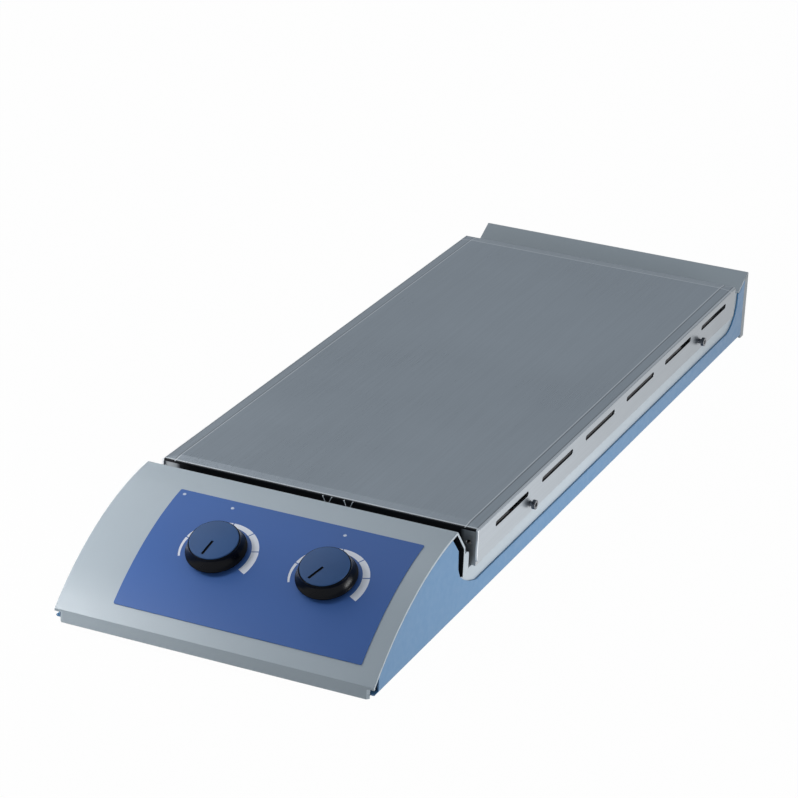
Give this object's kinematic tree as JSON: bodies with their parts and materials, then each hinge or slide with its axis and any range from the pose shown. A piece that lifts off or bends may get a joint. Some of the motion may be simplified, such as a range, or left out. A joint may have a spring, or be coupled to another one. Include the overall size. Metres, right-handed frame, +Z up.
{
  "type": "multi-position hotplate stirrer",
  "caption": "Long bench hotplate stirrer: low blue base, curved grey control panel with knobs, and a brushed steel heated plate over belt-driven magnet carriers",
  "frame": {"origin": "centre of the footprint's bounding box, on the bench surface under the feet", "axes": "+Z up, +Y from the control panel to the rear along the hotplate, +X to the right seen from the front"},
  "size_m": [0.2036, 0.6, 0.0583],
  "materials": {
    "blue_paint": "smooth semi-gloss blue paint",
    "grey_paint": "fine satin light grey paint",
    "film": "matt printed polyester film",
    "stainless": "brushed lengthwise",
    "dark_steel": "plain rolled",
    "zinc_steel": "zinc plated",
    "aluminium": "machined",
    "silicone": "smooth silicone mat",
    "fibre": "pressed mineral fibre",
    "brass": "turned",
    "polished_steel": "ground and polished",
    "carrier": "moulded with nickel coated magnets",
    "motor_black": "black enamel",
    "black_rubber": "matt",
    "knob_black": "fine moulded, slightly glossy",
    "knob_blue": "matt cap",
    "board_green": "solder resist",
    "coil_yellow": "taped winding",
    "black_plastic": "moulded",
    "lens": "clear lens, unlit",
    "screw_steel": "plain stainless",
    "wire_sleeve": "braided glass sleeve"
  },
  "bodies": {
    "housing": {"base_pan": "blue_paint", "top_cover": "grey_paint", "control_film": "film", "plate_cover": "stainless", "plate_front_end": "dark_steel", "plate_rear_end": "dark_steel", "heating_plate": "aluminium", "heater_mat": "silicone", "insulation_pad": "fibre", "heat_shield": "aluminium", "plate_sensor": "screw_steel", "limit_thermostat": "black_plastic", "drive_tray": "zinc_steel", "plate_side_blocks": "aluminium", "support_pillars": "brass", "rotor_axles": "polished_steel", "rotor_bearings": "polished_steel", "retaining_rings": "zinc_steel", "motor_case": "motor_black", "motor_seal": "black_rubber", "drive_belt": "black_rubber", "idler_bracket": "zinc_steel", "tray_spacers": "aluminium", "floor_standoffs": "brass", "potentiometers": "zinc_steel", "potentiometer_nuts": "zinc_steel", "control_board": "board_green", "power_board": "board_green", "board_standoffs": "brass", "power_components": "coil_yellow", "mains_inlet": "black_plastic", "inlet_pins": "brass", "switch_body": "black_plastic", "indicator_lenses": "lens", "rubber_feet": "black_rubber", "flange_screws": "screw_steel", "housing_screws": "screw_steel", "spring_clips": "screw_steel", "supply_wiring": "wire_sleeve"},
    "heat_knob": {"heat_knob_skirt": "knob_black", "heat_knob_cap": "knob_blue", "heat_pot_shaft": "aluminium"},
    "speed_knob": {"speed_knob_skirt": "knob_black", "speed_knob_cap": "knob_blue", "speed_pot_shaft": "aluminium"},
    "mains_rocker": {"switch_rocker": "knob_black"},
    "motor_rotor": {"motor_shaft": "polished_steel", "motor_pulley": "aluminium"},
    "belt_idler": {"idler_roller": "carrier"},
    "magnet_carrier_01": {"stir_rotor_01": "carrier"},
    "magnet_carrier_02": {"stir_rotor_02": "carrier"},
    "magnet_carrier_03": {"stir_rotor_03": "carrier"},
    "magnet_carrier_04": {"stir_rotor_04": "carrier"},
    "magnet_carrier_05": {"stir_rotor_05": "carrier"},
    "magnet_carrier_06": {"stir_rotor_06": "carrier"},
    "magnet_carrier_07": {"stir_rotor_07": "carrier"},
    "magnet_carrier_08": {"stir_rotor_08": "carrier"},
    "magnet_carrier_09": {"stir_rotor_09": "carrier"},
    "magnet_carrier_10": {"stir_rotor_10": "carrier"}
  },
  "joints": [
    {"name": "heat_knob_turn", "type": "hinge", "parent": "housing", "child": "heat_knob", "pos_m": [-0.021, -0.254, 0.04319], "axis": [0, 0.4216, -0.9068], "range_deg": [0, 270]},
    {"name": "speed_knob_turn", "type": "hinge", "parent": "housing", "child": "speed_knob", "pos_m": [0.045, -0.254, 0.04319], "axis": [0, 0.4216, -0.9068], "range_deg": [0, 270]},
    {"name": "mains_rocker_tilt", "type": "hinge", "parent": "housing", "child": "mains_rocker", "pos_m": [-0.0945, -0.208, 0.026], "axis": [0, -1, 0], "range_deg": [0, 14]},
    {"name": "motor_spin", "type": "hinge", "parent": "housing", "child": "motor_rotor", "pos_m": [0, -0.135, 0.028], "axis": [0, 0, 1], "continuous": true},
    {"name": "idler_spin", "type": "hinge", "parent": "housing", "child": "belt_idler", "pos_m": [0, 0.225, 0.028], "axis": [0, 0, 1], "continuous": true},
    {"name": "carrier_spin_01", "type": "hinge", "parent": "housing", "child": "magnet_carrier_01", "pos_m": [-0.045, -0.135, 0.028], "axis": [0, 0, 1], "continuous": true},
    {"name": "carrier_spin_02", "type": "hinge", "parent": "housing", "child": "magnet_carrier_02", "pos_m": [0.045, -0.135, 0.028], "axis": [0, 0, 1], "continuous": true},
    {"name": "carrier_spin_03", "type": "hinge", "parent": "housing", "child": "magnet_carrier_03", "pos_m": [-0.045, -0.045, 0.028], "axis": [0, 0, 1], "continuous": true},
    {"name": "carrier_spin_04", "type": "hinge", "parent": "housing", "child": "magnet_carrier_04", "pos_m": [0.045, -0.045, 0.028], "axis": [0, 0, 1], "continuous": true},
    {"name": "carrier_spin_05", "type": "hinge", "parent": "housing", "child": "magnet_carrier_05", "pos_m": [-0.045, 0.045, 0.028], "axis": [0, 0, 1], "continuous": true},
    {"name": "carrier_spin_06", "type": "hinge", "parent": "housing", "child": "magnet_carrier_06", "pos_m": [0.045, 0.045, 0.028], "axis": [0, 0, 1], "continuous": true},
    {"name": "carrier_spin_07", "type": "hinge", "parent": "housing", "child": "magnet_carrier_07", "pos_m": [-0.045, 0.135, 0.028], "axis": [0, 0, 1], "continuous": true},
    {"name": "carrier_spin_08", "type": "hinge", "parent": "housing", "child": "magnet_carrier_08", "pos_m": [0.045, 0.135, 0.028], "axis": [0, 0, 1], "continuous": true},
    {"name": "carrier_spin_09", "type": "hinge", "parent": "housing", "child": "magnet_carrier_09", "pos_m": [-0.045, 0.225, 0.028], "axis": [0, 0, 1], "continuous": true},
    {"name": "carrier_spin_10", "type": "hinge", "parent": "housing", "child": "magnet_carrier_10", "pos_m": [0.045, 0.225, 0.028], "axis": [0, 0, 1], "continuous": true}
  ],
  "couplings": [
    {"joint": "idler_spin", "follows": "motor_spin", "ratio": 1},
    {"joint": "carrier_spin_01", "follows": "motor_spin", "ratio": 1},
    {"joint": "carrier_spin_02", "follows": "motor_spin", "ratio": 1},
    {"joint": "carrier_spin_03", "follows": "motor_spin", "ratio": 1},
    {"joint": "carrier_spin_04", "follows": "motor_spin", "ratio": 1},
    {"joint": "carrier_spin_05", "follows": "motor_spin", "ratio": 1},
    {"joint": "carrier_spin_06", "follows": "motor_spin", "ratio": 1},
    {"joint": "carrier_spin_07", "follows": "motor_spin", "ratio": 1},
    {"joint": "carrier_spin_08", "follows": "motor_spin", "ratio": 1},
    {"joint": "carrier_spin_09", "follows": "motor_spin", "ratio": 1},
    {"joint": "carrier_spin_10", "follows": "motor_spin", "ratio": 1}
  ]
}
